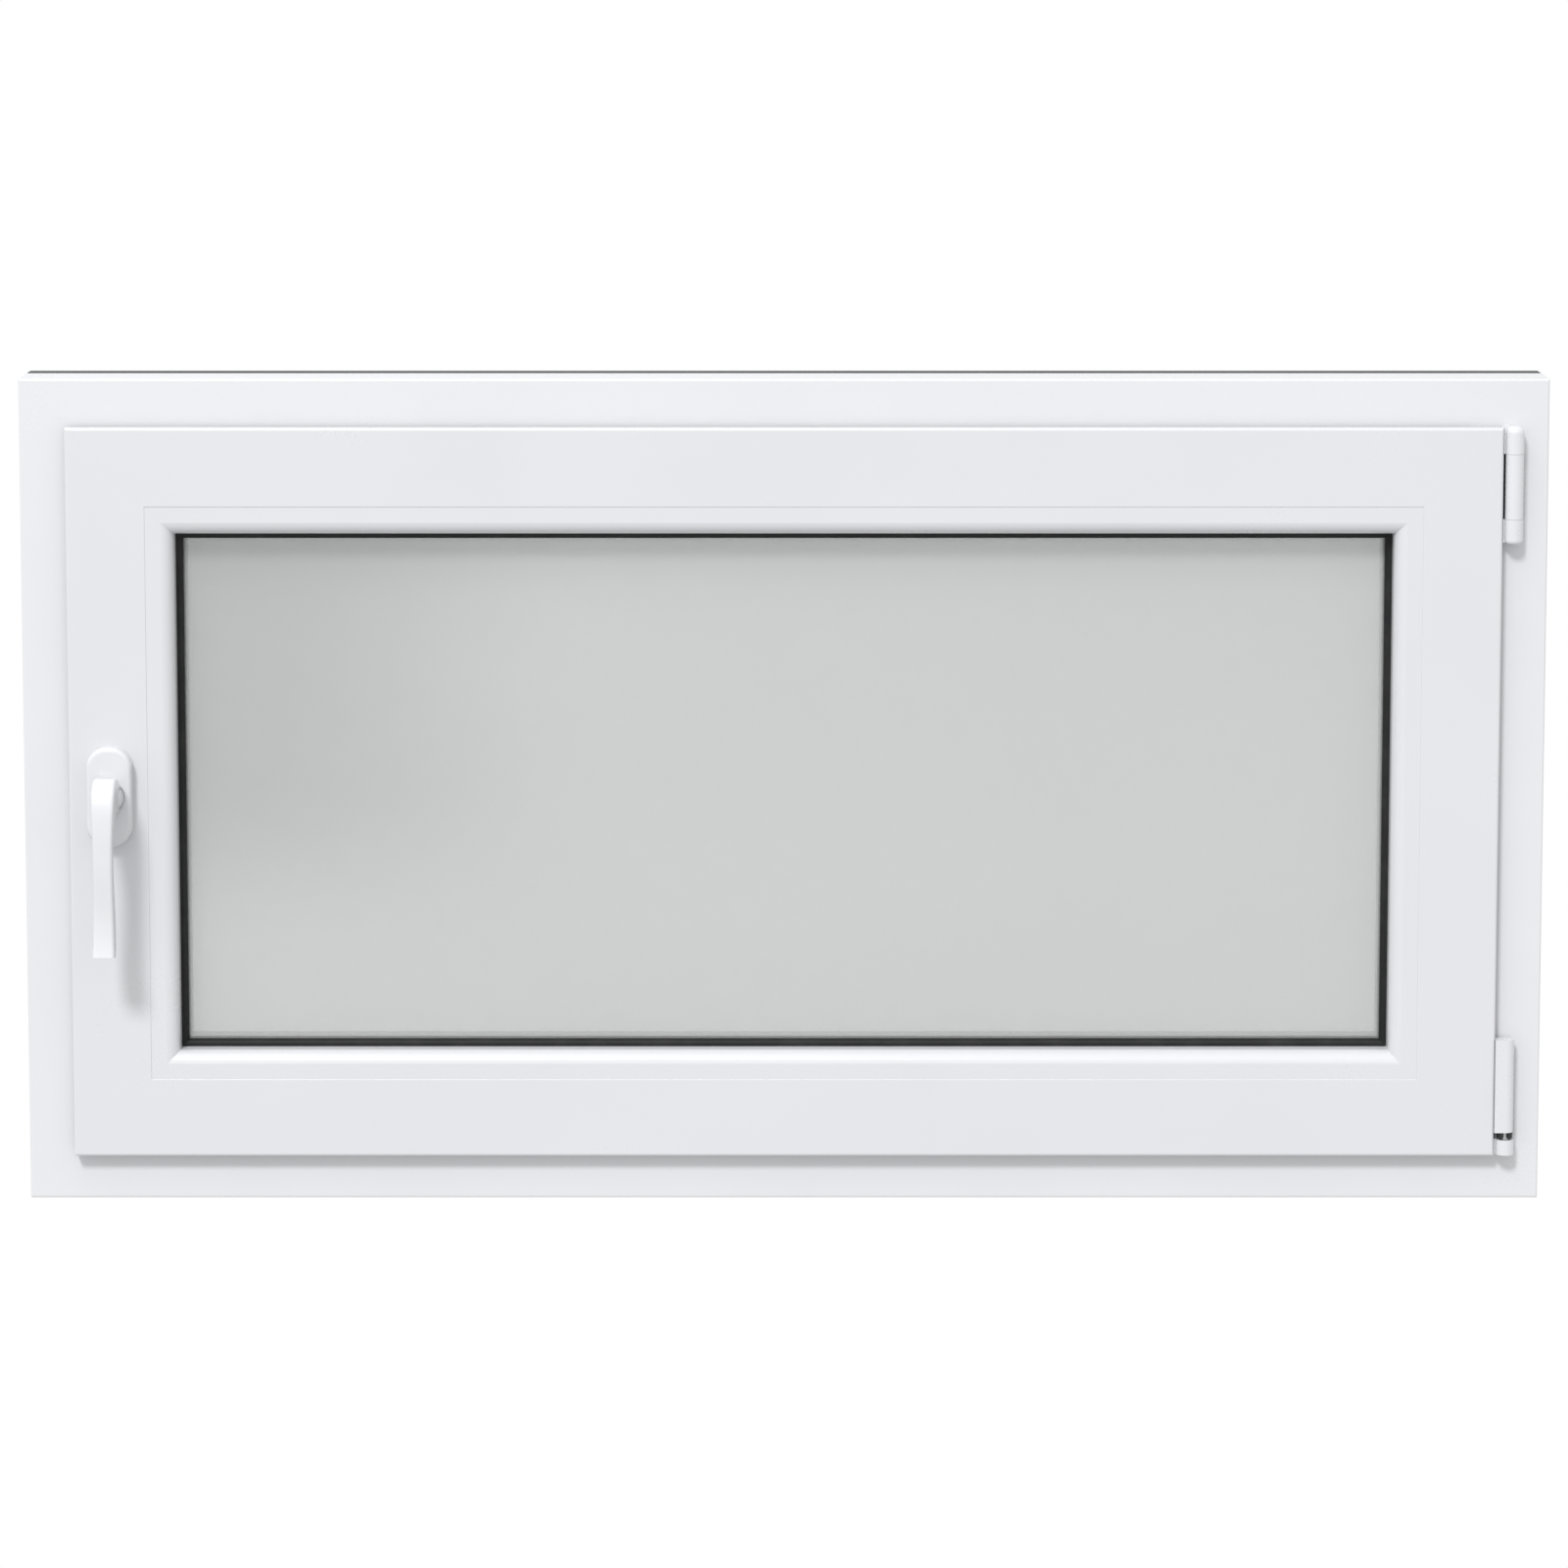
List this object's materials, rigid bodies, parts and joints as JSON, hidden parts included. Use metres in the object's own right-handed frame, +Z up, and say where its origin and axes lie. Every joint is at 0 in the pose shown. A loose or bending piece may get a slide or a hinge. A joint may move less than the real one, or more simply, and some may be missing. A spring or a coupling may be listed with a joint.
{
  "type": "tilt and turn casement window",
  "caption": "Single-leaf tilt-and-turn casement window in white plastic profile with sealed glass unit, side lever handle and concealed locking gear",
  "frame": {"origin": "middle of the frame's bottom face, halfway through its depth", "axes": "+X to the right seen from the room, towards the hinges; +Y from the room to the outside; +Z up"},
  "size_m": [1.1, 0.143, 0.6],
  "materials": {
    "white_pvc_frame": "white smooth uPVC, dark grey foil on the outside",
    "white_pvc_sash": "white smooth uPVC, dark grey foil on the outside",
    "white_pvc_bead": "white smooth uPVC",
    "galvanised_steel": "galvanised",
    "seal_rubber": "matt black",
    "glazing_rubber": "matt black",
    "drain_cap": "matt anthracite",
    "zinc_hardware": "zinc plated",
    "zinc_screws": "zinc plated",
    "steel_pin": "bright steel",
    "hinge_cover_white": "white plastic cover",
    "clear_glass": "clear float glass",
    "spacer": "satin",
    "sealant": "polysulphide",
    "block_plastic": "moulded plastic",
    "handle_white": "white powder coat"
  },
  "bodies": {
    "frame": {"frame_sill": "white_pvc_frame", "frame_head": "white_pvc_frame", "frame_jamb_left": "white_pvc_frame", "frame_jamb_right": "white_pvc_frame", "frame_steel_sill": "galvanised_steel", "frame_steel_head": "galvanised_steel", "frame_steel_left": "galvanised_steel", "frame_steel_right": "galvanised_steel", "frame_seal": "seal_rubber", "drain_caps": "drain_cap", "keeps_left": "zinc_hardware", "keep_top": "zinc_hardware", "keep_tilt": "zinc_hardware", "keep_bottom": "zinc_hardware", "frame_screws": "zinc_screws", "upper_hinge_bracket": "zinc_hardware", "upper_hinge_pin": "steel_pin", "upper_hinge_covers": "hinge_cover_white", "lower_hinge_bracket": "zinc_hardware", "lower_hinge_cover": "hinge_cover_white"},
    "swivel": {"lower_hinge_swivel": "steel_pin"},
    "scissor": {"scissor_arm": "zinc_hardware", "scissor_eye_cover": "hinge_cover_white"},
    "handle": {"handle_lever": "handle_white", "spindle": "steel_pin", "pinion": "steel_pin"},
    "rod_left": {"rod_left": "zinc_hardware"},
    "rod_top": {"rod_top": "zinc_hardware"},
    "rod_bottom": {"rod_bottom": "zinc_hardware"},
    "sash": {"sash_bottom": "white_pvc_sash", "sash_top": "white_pvc_sash", "sash_left": "white_pvc_sash", "sash_right": "white_pvc_sash", "sash_steel_bottom": "galvanised_steel", "sash_steel_top": "galvanised_steel", "sash_steel_left": "galvanised_steel", "sash_steel_right": "galvanised_steel", "sash_seal": "seal_rubber", "glazing_seal_inner": "glazing_rubber", "glazing_seal_outer": "glazing_rubber", "bead_bottom": "white_pvc_bead", "bead_top": "white_pvc_bead", "bead_left": "white_pvc_bead", "bead_right": "white_pvc_bead", "glass_inner": "clear_glass", "glass_outer": "clear_glass", "spacer_bar": "spacer", "edge_sealant": "sealant", "glazing_blocks": "block_plastic", "lower_hinge_pin": "steel_pin", "lower_hinge_strap": "zinc_hardware", "lower_barrel_cover": "hinge_cover_white", "faceplate_left": "zinc_hardware", "faceplate_top": "zinc_hardware", "faceplate_bottom": "zinc_hardware", "corner_drives": "zinc_hardware", "gearbox_case": "zinc_hardware", "handle_base": "zinc_hardware", "handle_screws": "zinc_screws", "handle_rosette": "handle_white"}
  },
  "joints": [
    {"name": "turn", "type": "hinge", "parent": "frame", "child": "swivel", "pos_m": [0.5242, -0.045, 0.0415], "axis": [0, 0, 1], "range_deg": [0, 100]},
    {"name": "tilt", "type": "hinge", "parent": "swivel", "child": "sash", "pos_m": [0.5242, -0.045, 0.0415], "axis": [1, 0, 0], "range_deg": [0, 8]},
    {"name": "scissor_swing", "type": "hinge", "parent": "swivel", "child": "scissor", "pos_m": [0.5242, -0.045, 0.55], "axis": [0, 0, 1], "range_deg": [0, 16.25]},
    {"name": "handle_turn", "type": "hinge", "parent": "sash", "child": "handle", "pos_m": [-0.486, -0.07, 0.3], "axis": [0, -1, 0], "range_deg": [0, 180]},
    {"name": "rod_left_slide", "type": "slide", "parent": "sash", "child": "rod_left", "axis": [0, 0, -1], "range_m": [0, 0.022]},
    {"name": "rod_top_slide", "type": "slide", "parent": "sash", "child": "rod_top", "axis": [-1, 0, 0], "range_m": [0, 0.022]},
    {"name": "rod_bottom_slide", "type": "slide", "parent": "sash", "child": "rod_bottom", "axis": [1, 0, 0], "range_m": [0, 0.022]}
  ],
  "couplings": [
    {"joint": "scissor_swing", "follows": "tilt", "ratio": 2.03},
    {"joint": "rod_left_slide", "follows": "handle_turn", "m_per_rad": 0.007},
    {"joint": "rod_top_slide", "follows": "handle_turn", "m_per_rad": 0.007},
    {"joint": "rod_bottom_slide", "follows": "handle_turn", "m_per_rad": 0.007}
  ]
}
